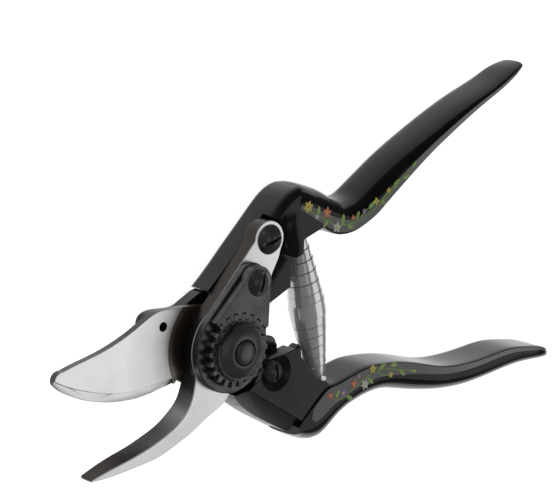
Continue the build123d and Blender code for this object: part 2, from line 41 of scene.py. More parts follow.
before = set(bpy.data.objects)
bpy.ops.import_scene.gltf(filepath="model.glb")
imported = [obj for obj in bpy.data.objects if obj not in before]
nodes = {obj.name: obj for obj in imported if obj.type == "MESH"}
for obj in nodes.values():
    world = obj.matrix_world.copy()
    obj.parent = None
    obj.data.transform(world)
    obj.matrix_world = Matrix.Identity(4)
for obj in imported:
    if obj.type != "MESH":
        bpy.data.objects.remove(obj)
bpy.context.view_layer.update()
mm = 0.001
tau = 2 * math.pi
print("frame loaded,", len(nodes), "pieces")


def levels(node):
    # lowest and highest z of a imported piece, in millimetres
    low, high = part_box(node)
    return low.z / mm, high.z / mm


def node(tree, kind, **sockets):
    # a shader node with its named input values set
    made = tree.nodes.new(kind)
    for name, value in sockets.items():
        made.inputs[name.replace("_", " ")].default_value = value
    return made


def blankMaterial(name):
    # a new material, with its tree, its surface shader and its texture coordinates
    made = bpy.data.materials.new(name)
    made.use_nodes = True
    tree = made.node_tree
    return made, tree, tree.nodes["Principled BSDF"], tree.nodes.new("ShaderNodeTexCoord")


def noiseOf(tree, coords, scale, detail=4.0, stretch=(1, 1, 1), turn=0.0):
    # noise on object coordinates, stretched and turned about z
    place = tree.nodes.new("ShaderNodeMapping")
    place.inputs["Scale"].default_value = stretch
    place.inputs["Rotation"].default_value = (0, 0, turn)
    tree.links.new(coords.outputs["Object"], place.inputs["Vector"])
    noise = node(tree, "ShaderNodeTexNoise", Scale=scale, Detail=detail)
    tree.links.new(place.outputs["Vector"], noise.inputs["Vector"])
    return noise.outputs["Fac"]


def spread(tree, fac, low, high):
    # a value between 0.3 and 0.7 carried in proportion onto low to high
    made = tree.nodes.new("ShaderNodeMapRange")
    made.inputs["From Min"].default_value = 0.3
    made.inputs["From Max"].default_value = 0.7
    made.inputs["To Min"].default_value = low
    made.inputs["To Max"].default_value = high
    tree.links.new(fac, made.inputs["Value"])
    return made.outputs["Result"]


def twoTone(tree, fac, first, second):
    # first below 0.35, second above 0.65 and a straight blend between
    ramp = tree.nodes.new("ShaderNodeValToRGB")
    ramp.color_ramp.elements[0].position = 0.35
    ramp.color_ramp.elements[0].color = (*first, 1)
    ramp.color_ramp.elements[1].position = 0.65
    ramp.color_ramp.elements[1].color = (*second, 1)
    tree.links.new(fac, ramp.inputs["Fac"])
    return ramp.outputs["Color"]


def bumpFrom(tree, height, strength, depth):
    # a bumped normal from a height, its depth in millimetres
    made = tree.nodes.new("ShaderNodeBump")
    made.inputs["Strength"].default_value = strength
    made.inputs["Distance"].default_value = depth * mm
    tree.links.new(height, made.inputs["Height"])
    return made.outputs["Normal"]


def fadeAlong(tree, coords, colour, fromX, toX, target):
    # a colour that passes into another between two places along the tool, given in millimetres
    split = tree.nodes.new("ShaderNodeSeparateXYZ")
    tree.links.new(coords.outputs["Object"], split.inputs["Vector"])
    along = tree.nodes.new("ShaderNodeMapRange")
    along.inputs["From Min"].default_value = fromX * mm
    along.inputs["From Max"].default_value = toX * mm
    tree.links.new(split.outputs["X"], along.inputs["Value"])
    blend = tree.nodes.new("ShaderNodeMix")
    blend.data_type = "RGBA"
    tree.links.new(along.outputs["Result"], blend.inputs["Factor"])
    tree.links.new(colour, blend.inputs["A"])
    blend.inputs["B"].default_value = (*target, 1)
    return blend.outputs["Result"]


def finish(name, look):
    # a shader from a dictionary: two tones in clouds, roughness and bump from the grain,
    # and a clear coat; where given, a painted sheen lightens the colour along the tool
    made, tree, shader, coords = blankMaterial(name)
    clouds = noiseOf(tree, coords, look.get("clouds", 180))
    grain = noiseOf(tree, coords, look.get("grain", 2500), 3.0, look.get("stretch", (1, 1, 1)),
                    look.get("turn", 0.0))
    colour = twoTone(tree, clouds, look["dark"], look["light"])
    # painted sheen: the colour lightens along the tool, standing in for a reflection of the key
    # light
    if "paintedSheen" in look:
        colour = fadeAlong(tree, coords, colour, *look["paintedSheen"])
    tree.links.new(colour, shader.inputs["Base Color"])
    tree.links.new(spread(tree, grain, *look["rough"]), shader.inputs["Roughness"])
    tree.links.new(bumpFrom(tree, grain, look.get("bump", 0.1), look.get("depth", 0.02)),
                   shader.inputs["Normal"])
    shader.inputs["Metallic"].default_value = look.get("metal", 0.0)
    shader.inputs["Coat Weight"].default_value = look.get("coat", 0.0)
    shader.inputs["Coat Roughness"].default_value = look.get("coatRough", 0.05)
    shader.inputs["Specular IOR Level"].default_value = look.get("specular", 0.5)
    return made


finishes = {
    "satinBlack": dict(dark=(0.004, 0.004, 0.005), light=(0.009, 0.009, 0.010), rough=(0.2, 0.3),
                       grain=3500, bump=0.2, depth=0.02, specular=0.22),
    "glossBlack": dict(dark=(0.002, 0.002, 0.003), light=(0.004, 0.004, 0.005), rough=(0.14, 0.2),
                       grain=900, bump=0.06, depth=0.02, specular=0.16, coat=0.05, coatRough=0.06),
    "strip": dict(dark=(0.016, 0.016, 0.018), light=(0.026, 0.026, 0.028), rough=(0.2, 0.32),
                  clouds=2600, grain=4200, bump=0.12, depth=0.02, coat=0.25, coatRough=0.08,
                  # painted sheen: between x = 76 and 100 mm the strip turns mid grey, a reflection
                  # of the key light painted into its colour
                  paintedSheen=(76, 100, (0.13, 0.13, 0.135))),
    "gunmetal": dict(dark=(0.05, 0.05, 0.053), light=(0.085, 0.085, 0.09), rough=(0.24, 0.36),
                     grain=3000, bump=0.2, depth=0.02, metal=0.6, specular=0.4),
    "plainSteel": dict(dark=(0.4, 0.4, 0.41), light=(0.5, 0.5, 0.5), rough=(0.28, 0.4), grain=2600,
                       metal=1.0, stretch=(1, 8, 1)),
    "chrome": dict(dark=(0.74, 0.74, 0.75), light=(0.84, 0.84, 0.84), rough=(0.1, 0.18), grain=1800,
                   metal=0.4, bump=0.05, stretch=(1, 12, 1)),
    "bronze": dict(dark=(0.38, 0.26, 0.12), light=(0.46, 0.32, 0.16), rough=(0.3, 0.42), metal=1.0),
    "rubber": dict(dark=(0.008, 0.008, 0.009), light=(0.014, 0.014, 0.015), rough=(0.18, 0.3),
                   grain=1500, bump=0.25, depth=0.05, specular=0.6),
    "leafGreen": dict(dark=(0.16, 0.33, 0.04), light=(0.34, 0.52, 0.09), rough=(0.3, 0.4),
                      clouds=900),
    "bloomYellow": dict(dark=(0.55, 0.5, 0.02), light=(0.75, 0.68, 0.06),
                        rough=(0.3, 0.4), clouds=1800),
    "bloomRed": dict(dark=(0.6, 0.1, 0.05), light=(0.75, 0.2, 0.1),
                     rough=(0.3, 0.4), clouds=1800),
    "bloomPale": dict(dark=(0.45, 0.5, 0.4), light=(0.7, 0.7, 0.68),
                      rough=(0.3, 0.4), clouds=1800),
    "bloomLilac": dict(dark=(0.2, 0.12, 0.3), light=(0.34, 0.22, 0.42),
                       rough=(0.3, 0.4), clouds=1800),
}
paint = {name: finish(name, look) for name, look in finishes.items()}
print("finishes made:", len(paint))


def through(points, count):
    # natural cubic through the points, spaced by chord length, read at even steps
    p = np.asarray(points, float)
    t = np.concatenate([[0], np.cumsum(np.linalg.norm(np.diff(p, axis=0), axis=1))])
    h = np.diff(t)
    inner = np.arange(1, len(t) - 1)
    system = np.zeros((len(t), len(t)))
    system[0, 0] = system[-1, -1] = 1
    system[inner, inner - 1] = h[:-1]
    system[inner, inner] = 2 * (h[:-1] + h[1:])
    system[inner, inner + 1] = h[1:]
    slope = np.diff(p, axis=0) / h[:, None]
    right = np.zeros_like(p)
    right[1:-1] = 6 * (slope[1:] - slope[:-1])
    bend = np.linalg.solve(system, right)
    s = np.linspace(0, t[-1], count)
    k = np.clip(np.searchsorted(t, s, side="right") - 1, 0, len(t) - 2)
    d = (s - t[k])[:, None]
    hk = h[k][:, None]
    return (p[k] + d * (slope[k] - hk * (2 * bend[k] + bend[k + 1]) / 6)
            + d ** 2 * bend[k] / 2 + d ** 3 * (bend[k + 1] - bend[k]) / (6 * hk))


def tubeFaces(rows, cols):
    # quads between neighbouring rings, closed round each ring
    r, c = np.meshgrid(np.arange(rows - 1), np.arange(cols), indexing="ij")
    a = r * cols + c
    b = r * cols + (c + 1) % cols
    return np.stack([a, b, b + cols, a + cols], -1).reshape(-1, 4).tolist()


def meshPiece(name, points, faces, material, sharp=38):
    # a mesh in metres with outward faces, smooth except along edges sharper than `sharp` degrees
    mesh = bpy.data.meshes.new(name)
    mesh.from_pydata((np.asarray(points, float).reshape(-1, 3) * mm).tolist(), [], faces)
    mesh.update()
    turnOutward(mesh)
    mesh.polygons.foreach_set("use_smooth", np.ones(len(mesh.polygons), bool))
    mesh.set_sharp_from_angle(angle=math.radians(sharp))
    piece = bpy.data.objects.new(name, mesh)
    bpy.context.scene.collection.objects.link(piece)
    for one in material if isinstance(material, list) else [material]:
        mesh.materials.append(paint[one] if isinstance(one, str) else one)
    return piece


def turnOutward(mesh):
    # flips every face if the closed surface's signed volume is negative
    mesh.calc_loop_triangles()
    corners = np.zeros(len(mesh.loop_triangles) * 3, np.int32)
    mesh.loop_triangles.foreach_get("vertices", corners)
    co = np.zeros(len(mesh.vertices) * 3, np.float32)
    mesh.vertices.foreach_get("co", co)
    a, b, c = co.reshape(-1, 3)[corners.reshape(-1, 3)].astype(float).transpose(1, 0, 2)
    if np.einsum("ij,ij->i", a, np.cross(b, c)).sum() < 0:
        mesh.flip_normals()


def closedTube(rings):
    # rings along a path, with a pole that closes each end
    rows, cols, _ = rings.shape
    faces = tubeFaces(rows, cols)
    first, last = rows * cols, rows * cols + 1
    c = np.arange(cols)
    n = (c + 1) % cols
    base = (rows - 1) * cols
    faces += np.stack([n, c, np.full(cols, first)], -1).tolist()
    faces += np.stack([base + c, base + n, np.full(cols, last)], -1).tolist()
    points = np.concatenate([rings.reshape(-1, 3), rings[0].mean(0)[None], rings[-1].mean(0)[None]])
    return points, faces


def lathe(profile, cols, centre=(0, 0)):
    # (radius, z) steps turned about a vertical axis, closed at both ends by a pole
    angle = np.arange(cols) * tau / cols
    p = np.asarray(profile, float)
    rings = np.stack([centre[0] + p[:, :1] * np.cos(angle), centre[1] + p[:, :1] * np.sin(angle),
                      np.repeat(p[:, 1:], cols, 1)], -1)
    return closedTube(rings)


# merging distance in millimetres; angles in degrees
copySizes = {"merge": 0.002, "flatAngle": 0.4, "sharpAngle": 34}


def easedCopy(source, name, material, width, steps=2, angle=28):
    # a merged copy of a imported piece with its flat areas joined, and a bevel of the given width
    # along edges sharper than `angle` degrees; no bevel when the width is 0
    mesh = nodes[source].data.copy()
    mesh.name = name
    shape = bmesh.new()
    shape.from_mesh(mesh)
    bmesh.ops.remove_doubles(shape, verts=shape.verts, dist=copySizes["merge"] * mm)
    bmesh.ops.dissolve_limit(shape, angle_limit=math.radians(copySizes["flatAngle"]),
                             verts=shape.verts, edges=shape.edges)
    shape.to_mesh(mesh)
    shape.free()
    mesh.materials.clear()
    mesh.materials.append(paint[material] if isinstance(material, str) else material)
    mesh.polygons.foreach_set("use_smooth", np.ones(len(mesh.polygons), bool))
    mesh.set_sharp_from_angle(angle=math.radians(copySizes["sharpAngle"]))
    piece = bpy.data.objects.new(name, mesh)
    bpy.context.scene.collection.objects.link(piece)
    if not width:
        return piece
    ease = piece.modifiers.new("ease", "BEVEL")
    ease.width = width * mm
    ease.segments = steps
    ease.limit_method = "ANGLE"
    ease.angle_limit = math.radians(angle)
    ease.use_clamp_overlap = False
    ease.harden_normals = True
    return piece


def settle(piece, body, slot, *replaced):
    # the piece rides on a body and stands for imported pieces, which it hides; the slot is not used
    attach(piece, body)
    if replaced:
        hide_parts(*replaced)
    return piece


upperGripSizes = {
    # x, inner face, palm face, share of the full depth
    "sections": [
        (36.8, 31.4, 34.8, 1.0), (39.0, 29.0, 37.2, 1.0), (42.0, 25.9, 37.5, 1.0),
        (46.5, 21.2, 35.3, 1.0), (50.5, 17.8, 32.6, 1.0), (54.0, 16.4, 29.2, 1.0),
        (57.0, 15.9, 26.5, 1.0), (60.0, 15.9, 25.4, 1.0), (63.5, 16.4, 25.1, 1.0),
        (68.0, 17.4, 26.3, 1.0), (75.0, 20.2, 28.7, 1.0), (84.0, 23.9, 31.6, 1.0),
        (95.0, 28.2, 34.3, 1.0), (108.0, 32.2, 37.1, 0.98), (122.0, 35.8, 39.4, 0.94),
        (134.0, 38.2, 41.0, 0.87), (142.0, 40.2, 42.5, 0.76), (147.9, 41.5, 42.75, 0.50),
    ],
    "rows": 220, "tip": 1.6,
}
lowerGripSizes = {
    "sections": [
        (21.0, -37.2, -41.0, 1.0), (24.0, -35.4, -43.8, 1.0), (28.0, -33.0, -46.2, 1.0),
        (32.0, -30.9, -46.9, 1.0), (36.0, -29.5, -45.6, 1.0), (40.0, -29.8, -43.6, 1.0),
        (44.0, -29.9, -42.4, 1.0), (48.0, -29.9, -41.9, 1.0), (54.0, -30.2, -41.8, 1.0),
        (61.0, -32.0, -42.9, 1.0), (69.0, -35.0, -46.5, 1.0), (78.0, -39.6, -50.9, 1.0),
        (87.0, -44.4, -54.5, 1.0), (97.0, -47.7, -57.3, 1.0), (108.0, -49.8, -59.0, 0.98),
        (119.0, -51.7, -60.3, 0.94), (128.0, -55.0, -62.0, 0.87), (136.0, -58.9, -64.2, 0.74),
        (139.8, -61.8, -65.3, 0.50),
    ],
    "rows": 220, "tip": 1.6,
}
# how both grips are made: least size of the tip's last ring, squared; room left inside the
# body's faces in millimetres; steps at which the front is read
gripMaking = {"tipLeast": 0.0025, "inside": 0.03, "frontSteps": 400}
# section of a grip: share from inner to palm face, share of half the depth
gripAround = [
    (0.0, 0.0), (0.0, 0.45), (0.0, 0.78), (0.004, 0.9), (0.02, 0.965), (0.05, 0.995),
    (0.08, 1.0), (0.2, 1.0), (0.32, 1.0), (0.43, 1.0), (0.45, 0.992), (0.458, 0.972),
    (0.47, 0.97), (0.5, 0.978), (0.56, 0.955), (0.64, 0.905), (0.73, 0.82), (0.82, 0.69),
    (0.90, 0.51), (0.955, 0.29), (0.985, 0.05), (1.0, -0.2), (1.0, -0.42), (0.992, -0.62),
    (0.968, -0.79), (0.925, -0.91), (0.86, -0.98), (0.78, -1.0), (0.6, -1.0), (0.4, -1.0),
    (0.2, -1.0), (0.09, -1.0), (0.05, -0.99), (0.018, -0.955), (0.004, -0.89), (0.0, -0.78),
    (0.0, -0.4),
]


def sectionsAt(sizes, count):
    # the table of sections read at even steps; the share of depth is weighed ten times in the
    # spacing, so that the steps close up where a grip thins
    return through(np.array(sizes["sections"]) * [1, 1, 1, 10], count) * [1, 1, 1, 0.1]


def gripRings(sizes):
    # sections carried along x; the tip shrinks by the square root of 1 - (1 - t) squared, where
    # t runs from 0 at the end to 1 where the rounding starts
    depth = levels("upper_handle")[1]
    around = np.array(gripAround)
    x, inner, crown, share = sectionsAt(sizes, sizes["rows"]).T
    fromTip = np.clip((x[-1] - x) / sizes["tip"], 0, 1)
    shrink = np.sqrt(np.clip(1 - (1 - fromTip) ** 2, gripMaking["tipLeast"], 1))
    centre = (inner + crown) / 2
    reach = (crown - inner) / 2
    y = centre[:, None] + reach[:, None] * shrink[:, None] * (2 * around[:, 0] - 1)
    z = depth / 2 * (1 + around[:, 1] * (share * shrink)[:, None])
    z = np.clip(z, gripMaking["inside"], depth - gripMaking["inside"])
    return np.stack([np.repeat(x[:, None], len(around), 1), y, z], -1)


def onFront(sizes, x, share, lift):
    # a point on the flat front of a grip, from x and a share of the section
    s = sectionsAt(sizes, gripMaking["frontSteps"])
    inner = np.interp(x, s[:, 0], s[:, 1])
    crown = np.interp(x, s[:, 0], s[:, 2])
    depthShare = np.interp(x, s[:, 0], s[:, 3])
    depth = levels("upper_handle")[1]
    z = depth / 2 * (1 + depthShare) + lift
    return np.stack([x, inner + (crown - inner) * share, z], -1)


upperGrip = meshPiece("upperGrip", *closedTube(gripRings(upperGripSizes)), "glossBlack", 30)
settle(upperGrip, "hook_side", "gloss_black", "upper_grip")
lowerGrip = meshPiece("lowerGrip", *closedTube(gripRings(lowerGripSizes)), "glossBlack", 30)
settle(lowerGrip, "blade_side", "gloss_black", "lower_grip")
print("grips made")

stripSizes = {
    "proud": 0.06, "edge": 0.12, "rows": 150, "endRound": 2.0, "endLeast": 0.01,
    # x, lower share, upper share of the grip's front
    "upper": [(38.0, 0.10, 0.42), (50.0, 0.08, 0.43), (62.0, 0.05, 0.44), (80.0, 0.05, 0.44),
              (100.0, 0.06, 0.44), (125.0, 0.08, 0.44), (145.0, 0.10, 0.44)],
    "lower": [(30.0, 0.06, 0.44), (45.0, 0.04, 0.44), (66.0, 0.03, 0.42), (75.0, 0.03, 0.36),
              (84.0, 0.04, 0.31), (95.0, 0.04, 0.26), (110.0, 0.04, 0.22), (125.0, 0.05, 0.24),
              (139.0, 0.06, 0.26)],
}


def stripPiece(name, side, sizes, firstX, lastX):
    # a thin band laid on a grip's front: rows across, closed underneath, with eased long edges
    x = np.linspace(firstX, lastX, stripSizes["rows"])
    ends = np.minimum(x - firstX, lastX - x) / stripSizes["endRound"]
    narrow = np.sqrt(np.clip(1 - (1 - np.clip(ends, 0, 1)) ** 2, stripSizes["endLeast"], 1))
    places, lowShares, highShares = np.array(stripSizes[side]).T
    low = np.interp(x, places, lowShares)
    high = np.interp(x, places, highShares)
    middleShare = (low + high) / 2
    halfShare = (high - low) / 2
    across = [(-1, -0.4), (-1, 0.6), (-0.96, 0.9), (-0.9, 1), (-0.45, 1), (0, 1), (0.45, 1),
              (0.9, 1), (0.96, 0.9), (1, 0.6), (1, -0.4), (0, -0.4)]
    rings = []
    for offset, height in across:
        share = middleShare + halfShare * narrow * offset
        lift = stripSizes["proud"] - (1 - height) * stripSizes["edge"]
        rings.append(onFront(sizes, x, share, lift))
    return meshPiece(name, *closedTube(np.stack(rings, 1)), "strip", 50)


settle(stripPiece("upperStrip", "upper", upperGripSizes, 37.6, 146.4), "hook_side",
       "decor_strip", "upper_strip")
settle(stripPiece("lowerStrip", "lower", lowerGripSizes, 27.0, 138.3), "blade_side",
       "decor_strip", "lower_strip")

# the vine: stems, leaves and blooms of thin enamel laid on the strips
enamel = {
    "lift": 0.1, "rise": 0.05, "sink": 0.12, "stem": 0.4, "around": 28, "perPoint": 14,
    "bloom": 1.25, "heart": 0.3, "leafLift": 0.01, "bloomLift": 0.03, "heartLift": 0.07,
    "petalMean": 0.78, "petalWave": 0.22, "petalTurn": 0.6, "leafPower": 1.4,
    "stemEnd": 0.45, "stemSwell": 0.55,
}
vines = {
    "hook_side": {
        "stems": [
            [(39.3, 30.0), (43.0, 27.9), (46.2, 25.0), (49.6, 21.7), (53.6, 20.0), (58.5, 19.0),
             (64.0, 19.3), (69.5, 20.6), (75.5, 22.7), (81.0, 25.0), (87.0, 27.5)],
            [(48.6, 22.6), (49.0, 24.4), (48.0, 26.0)],
            [(60.5, 19.0), (62.8, 20.4), (65.6, 21.2)],
            [(70.5, 21.0), (73.5, 23.0), (77.5, 24.2)],
        ],
        # x, y, half length, half width, turn in degrees
        "leaves": [
            (44.6, 28.3, 1.6, 0.75, 70), (46.6, 23.2, 1.5, 0.7, 215), (53.8, 21.6, 1.9, 0.8, 65),
            (56.4, 18.3, 1.7, 0.7, 330), (60.2, 20.6, 1.5, 0.65, 50), (66.8, 21.7, 1.8, 0.7, 20),
            (71.6, 20.6, 1.6, 0.6, 330), (78.6, 24.9, 1.9, 0.65, 25), (83.4, 25.2, 1.7, 0.55, 5),
            (87.6, 28.0, 1.7, 0.5, 30),
        ],
        # x, y, radius, petals; drawn larger by enamel["bloom"]
        "bloomYellow": [(40.9, 31.0, 1.6, 6), (68.9, 22.2, 1.0, 4), (75.0, 23.7, 0.8, 4)],
        "bloomRed": [(47.9, 26.4, 1.5, 5), (58.2, 20.6, 0.8, 4)],
        "bloomPale": [(50.9, 20.2, 1.5, 5), (43.6, 26.6, 0.8, 5)],
        "bloomLilac": [(63.2, 20.9, 0.8, 5)],
    },
    "blade_side": {
        "stems": [
            [(36.5, -34.2), (40.6, -35.6), (45.4, -34.6), (50.4, -33.4), (56.0, -32.9),
             (61.0, -34.0), (66.0, -36.4), (71.0, -39.0)],
            [(46.0, -34.4), (46.4, -32.8), (48.2, -31.8)],
            [(56.6, -33.0), (58.6, -35.0), (61.8, -36.4)],
        ],
        "leaves": [
            (39.0, -33.4, 1.6, 0.75, 50), (43.6, -36.6, 1.6, 0.7, 320),
            (53.6, -34.9, 1.7, 0.7, 300), (59.6, -32.4, 1.7, 0.7, 10),
            (64.6, -34.2, 1.8, 0.7, 340), (67.6, -38.4, 1.7, 0.65, 310),
            (72.6, -39.8, 1.6, 0.55, 330),
        ],
        "bloomYellow": [(55.4, -31.6, 1.2, 5), (62.6, -36.8, 0.9, 5)],
        "bloomRed": [(46.4, -33.0, 1.2, 5), (36.0, -32.6, 1.0, 5)],
        "bloomPale": [(51.0, -35.2, 1.5, 6)],
        "bloomLilac": [(41.4, -34.0, 1.3, 5), (49.0, -31.4, 0.9, 5)],
    },
}


def dabPoints(x, y, radius, top):
    # a low dome: rings shrink to a pole above, and one ring and a pole close it underneath
    count = enamel["around"]
    angle = np.arange(count) * tau / count
    r = radius(angle)
    foot = top - enamel["sink"]
    steps = [(0.02, foot), (1.0, foot)]
    steps += [(share, top + height * enamel["rise"])
              for share, height in ((1.0, 0.0), (0.9, 0.7), (0.6, 1.0), (0.3, 0.92), (0.02, 0.85))]
    rings = [np.stack([x + share * r[0], y + share * r[1], np.full(count, z)], -1)
             for share, z in steps]
    return closedTube(np.array(rings))


def petalled(radius, petals):
    # a flower's outline: radius times (mean + wave cos(petals times the angle, plus a turn))
    def ring(angle):
        wave = enamel["petalWave"] * np.cos(petals * angle + enamel["petalTurn"])
        r = radius * (enamel["petalMean"] + wave)
        return r * np.cos(angle), r * np.sin(angle)
    return ring


def leafShape(length, width, turn):
    # an almond turned in the plane: length times the cosine along it, and across it width times
    # the sine raised to a power above 1
    def ring(angle):
        a = length * np.cos(angle)
        b = width * np.sign(np.sin(angle)) * np.abs(np.sin(angle)) ** enamel["leafPower"]
        c, d = math.cos(math.radians(turn)), math.sin(math.radians(turn))
        return a * c - b * d, a * d + b * c
    return ring


def stemPoints(path, top):
    # a flattened tube along the path; its width is the full one times
    # (end + swell times the square root of the sine of pi times the share of the path)
    line = through(path, enamel["perPoint"] * len(path))
    tangent = np.gradient(line, axis=0)
    tangent /= np.linalg.norm(tangent, axis=1)[:, None]
    side = np.stack([-tangent[:, 1], tangent[:, 0]], -1)
    s = np.linspace(0, 1, len(line))
    swell = enamel["stemSwell"] * np.sqrt(np.sin(math.pi * np.clip(s, 0.02, 0.98)))
    half = enamel["stem"] / 2 * (enamel["stemEnd"] + swell)
    rings = []
    for across, z in ((1, -enamel["sink"]), (1, 0), (0.6, enamel["rise"]), (-0.6, enamel["rise"]),
                      (-1, 0), (-1, -enamel["sink"])):
        place = line + side * (half * across)[:, None]
        rings.append(np.column_stack([place, np.full(len(line), top + z)]))
    return closedTube(np.stack(rings, 1))


def joined(parts):
    # several closed surfaces as one list of points and faces
    points, faces, base = [], [], 0
    for p, f in parts:
        points.append(p.reshape(-1, 3))
        faces += [[base + i for i in face] for face in f]
        base += len(points[-1])
    return np.concatenate(points), faces


for body, vine in vines.items():
    side = "upper" if body == "hook_side" else "lower"
    top = levels("upper_handle")[1] + enamel["lift"]
    greens = [stemPoints(path, top) for path in vine["stems"]]
    greens += [dabPoints(x, y, leafShape(a, b, turn), top + enamel["leafLift"])
               for x, y, a, b, turn in vine["leaves"]]
    settle(meshPiece(side + "Vine", *joined(greens), "leafGreen", 60), body, "decor_strip")
    for bloom in ("bloomYellow", "bloomRed", "bloomPale", "bloomLilac"):
        dabs = [dabPoints(x, y, petalled(enamel["bloom"] * r, petals), top + enamel["bloomLift"])
                for x, y, r, petals in vine[bloom]]
        hearts = [dabPoints(x, y, petalled(enamel["heart"] * r, 0), top + enamel["heartLift"])
                  for x, y, r, petals in vine[bloom]]
        heartColour = "bloomYellow" if bloom != "bloomYellow" else "bloomRed"
        settle(meshPiece(side + bloom[0].upper() + bloom[1:], *joined(dabs), bloom, 60), body,
               "decor_strip")
        settle(meshPiece(side + "Heart" + bloom[5:], *joined(hearts), heartColour, 60), body,
               "decor_strip")
print("vines laid")

for source, name, material, body, slot, width in [
    ("upper_handle", "upperHead", "satinBlack", "hook_side", "satin_black", 0),
    ("lower_handle", "lowerHead", "satinBlack", "blade_side", "satin_black", 0.2),
    ("lock_plate", "lockPlate", "gunmetal", "hook_side", "gunmetal", 0.1),
    ("toothed_segment", "toothedSegment", "gunmetal", "hook_side", "gunmetal", 0.2),
    ("segment_screw", "segmentScrew", "gunmetal", "hook_side", "gunmetal", 0.12),
    ("hook_screw", "hookScrew", "gunmetal", "hook_side", "gunmetal", 0.12),
    ("catch_screw", "catchScrew", "gunmetal", "blade_side", "gunmetal", 0.12),
    ("cushion", "cushionPad", "rubber", "blade_side", "black_rubber", 0.5),
    ("thumb_catch", "thumbCatch", "glossBlack", "catch", "gloss_black", 0.5),
]:
    settle(easedCopy(source, name, material, width), body, slot, source)


# for both steels: scale of the clouds, furthest tone and depth of the streaks in millimetres, and
# the upward parts of the normal between which a wall becomes a face
steelLook = {"clouds": 60, "reach": 40, "streakDepth": 0.012, "wallUp": 0.35, "faceUp": 0.6}


def steelMaterial(name, look):
    # ground steel: fine streaks, tones that depend on the distance from the pivot in the plane of
    # the tool, and a dark colour where a face turns away from that plane
    made, tree, shader, coords = blankMaterial(name)
    streaks = noiseOf(tree, coords, look["grain"], 5.0, look["stretch"], look["turn"])
    clouds = noiseOf(tree, coords, steelLook["clouds"], 3.0)
    away = tree.nodes.new("ShaderNodeVectorMath")
    away.operation = "MULTIPLY"
    away.inputs[1].default_value = (1, 1, 0)
    tree.links.new(coords.outputs["Object"], away.inputs[0])
    radius = tree.nodes.new("ShaderNodeVectorMath")
    radius.operation = "LENGTH"
    tree.links.new(away.outputs["Vector"], radius.inputs[0])
    scaled = tree.nodes.new("ShaderNodeMapRange")
    scaled.inputs["From Max"].default_value = steelLook["reach"] * mm
    tree.links.new(radius.outputs["Value"], scaled.inputs["Value"])
    ramp = tree.nodes.new("ShaderNodeValToRGB")
    for place, colour in look["tones"]:
        stop = ramp.color_ramp.elements.new(place / steelLook["reach"])
        stop.color = (*colour, 1)
    ramp.color_ramp.elements.remove(ramp.color_ramp.elements[0])
    ramp.color_ramp.elements.remove(ramp.color_ramp.elements[-1])
    tree.links.new(scaled.outputs["Result"], ramp.inputs["Fac"])
    shade = tree.nodes.new("ShaderNodeMix")
    shade.data_type = "RGBA"
    shade.blend_type = "MULTIPLY"
    shade.inputs["Factor"].default_value = 1.0
    tree.links.new(ramp.outputs["Color"], shade.inputs["A"])
    tree.links.new(twoTone(tree, streaks, look["streakDark"], (1, 1, 1)), shade.inputs["B"])
    wall = tree.nodes.new("ShaderNodeMix")
    wall.data_type = "RGBA"
    facing = tree.nodes.new("ShaderNodeNewGeometry")
    split = tree.nodes.new("ShaderNodeSeparateXYZ")
    tree.links.new(facing.outputs["Normal"], split.inputs["Vector"])
    up = tree.nodes.new("ShaderNodeMapRange")
    up.inputs["From Min"].default_value = steelLook["wallUp"]
    up.inputs["From Max"].default_value = steelLook["faceUp"]
    size = tree.nodes.new("ShaderNodeMath")
    size.operation = "ABSOLUTE"
    tree.links.new(split.outputs["Z"], size.inputs[0])
    tree.links.new(size.outputs["Value"], up.inputs["Value"])
    tree.links.new(up.outputs["Result"], wall.inputs["Factor"])
    wall.inputs["A"].default_value = (*look["wall"], 1)
    tree.links.new(shade.outputs["Result"], wall.inputs["B"])
    tree.links.new(wall.outputs["Result"], shader.inputs["Base Color"])
    tree.links.new(spread(tree, clouds, *look["rough"]), shader.inputs["Roughness"])
    tree.links.new(bumpFrom(tree, streaks, look["bump"], steelLook["streakDepth"]),
                   shader.inputs["Normal"])
    shader.inputs["Metallic"].default_value = look["metal"]
    return made


paint["bladeSteel"] = steelMaterial("bladeSteel", {
    "grain": 2600, "stretch": (0.25, 6, 1), "turn": 0.2, "rough": (0.26, 0.34), "bump": 0.1,
    "metal": 0.85, "streakDark": (0.86, 0.86, 0.86), "wall": (0.05, 0.045, 0.04),
    "tones": [(0, (0.1, 0.08, 0.065)), (15, (0.1, 0.08, 0.065)), (18.4, (0.16, 0.14, 0.12)),
              (18.9, (0.05, 0.045, 0.04)), (19.4, (0.36, 0.35, 0.34)), (26, (0.62, 0.62, 0.62)),
              (36, (0.78, 0.78, 0.79))],
})
paint["hookSteel"] = steelMaterial("hookSteel", {
    "grain": 2200, "stretch": (0.4, 4, 1), "turn": -0.9, "rough": (0.3, 0.4), "bump": 0.12,
    "metal": 0.8, "streakDark": (0.88, 0.88, 0.88), "wall": (0.035, 0.03, 0.027),
    "tones": [(0, (0.6, 0.6, 0.6)), (20, (0.72, 0.72, 0.72)), (39, (0.7, 0.7, 0.7))],
})
settle(easedCopy("hook_blade", "hookBlade", "hookSteel", 0.3, 3), "hook_side", "hook_steel",
       "hook_blade")
settle(easedCopy("cutting_blade", "cuttingBlade", "bladeSteel", 0.15, 2), "blade_side",
       "ground_steel", "cutting_blade")
print("head and blades made")

nutSizes = {
    "teeth": 22, "root": 9.7, "tip": 11.7, "perTooth": 18, "round": 0.25,
    "steep": 3.2, "shift": 0.05, "flat": 7.7, "flatTurn": math.radians(118),
    # radius, height above the rim
    "cone": [
        (8.8, 0.16), (8.78, 0.9), (8.7, 1.25), (8.5, 1.5), (8.1, 1.72), (7.4, 2.02), (6.6, 2.34),
        (5.8, 2.62), (5.1, 2.84), (4.6, 2.95), (4.3, 2.98), (4.12, 2.9), (4.06, 2.6), (4.03, 1.0),
    ],
}


